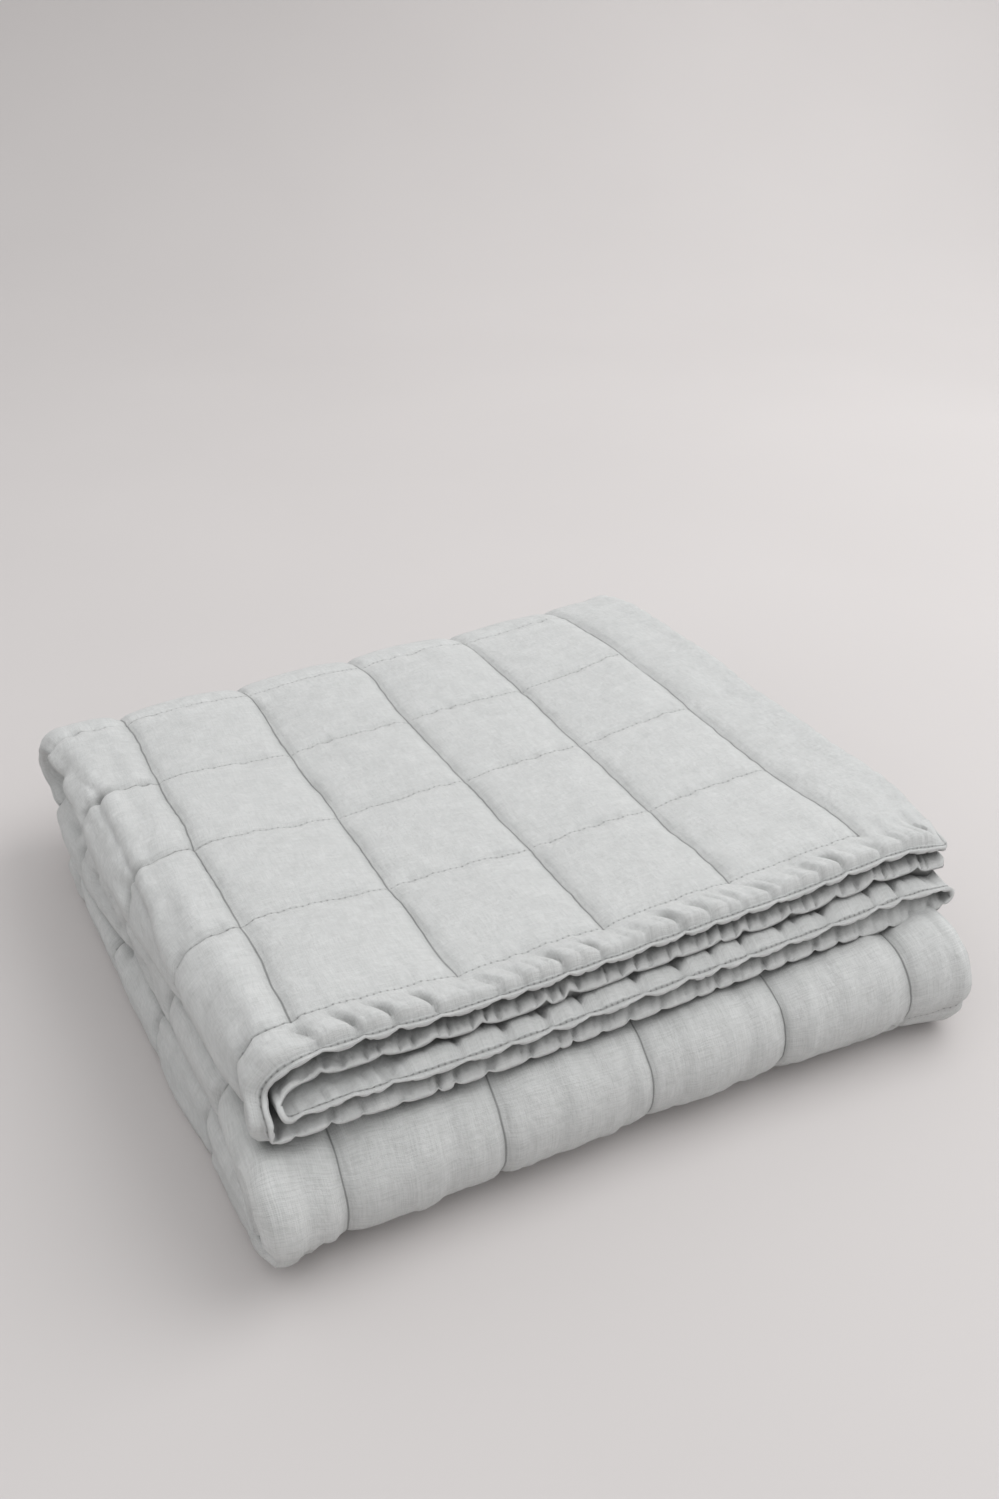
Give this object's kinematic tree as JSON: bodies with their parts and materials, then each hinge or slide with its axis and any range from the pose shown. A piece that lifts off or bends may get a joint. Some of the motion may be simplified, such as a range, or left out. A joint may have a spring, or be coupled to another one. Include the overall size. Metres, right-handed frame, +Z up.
{
  "type": "quilted bedspread",
  "caption": "Padded cloth bedspread, stitched in squares with turned, topstitched hems, folded into a flat square stack.",
  "frame": {"origin": "centre of the folded stack's bounding box, at the height of the surface it rests on", "axes": "+Z up, +X across the folded strip from its long folded side to its free edges, +Y from the hems in front to the fold at the back"},
  "size_m": [0.6776, 0.6693, 0.1696],
  "materials": {
    "linen": "matt washed linen, pale grey green"
  },
  "bodies": {
    "root": {"quilt": "linen"}
  },
  "joints": []
}
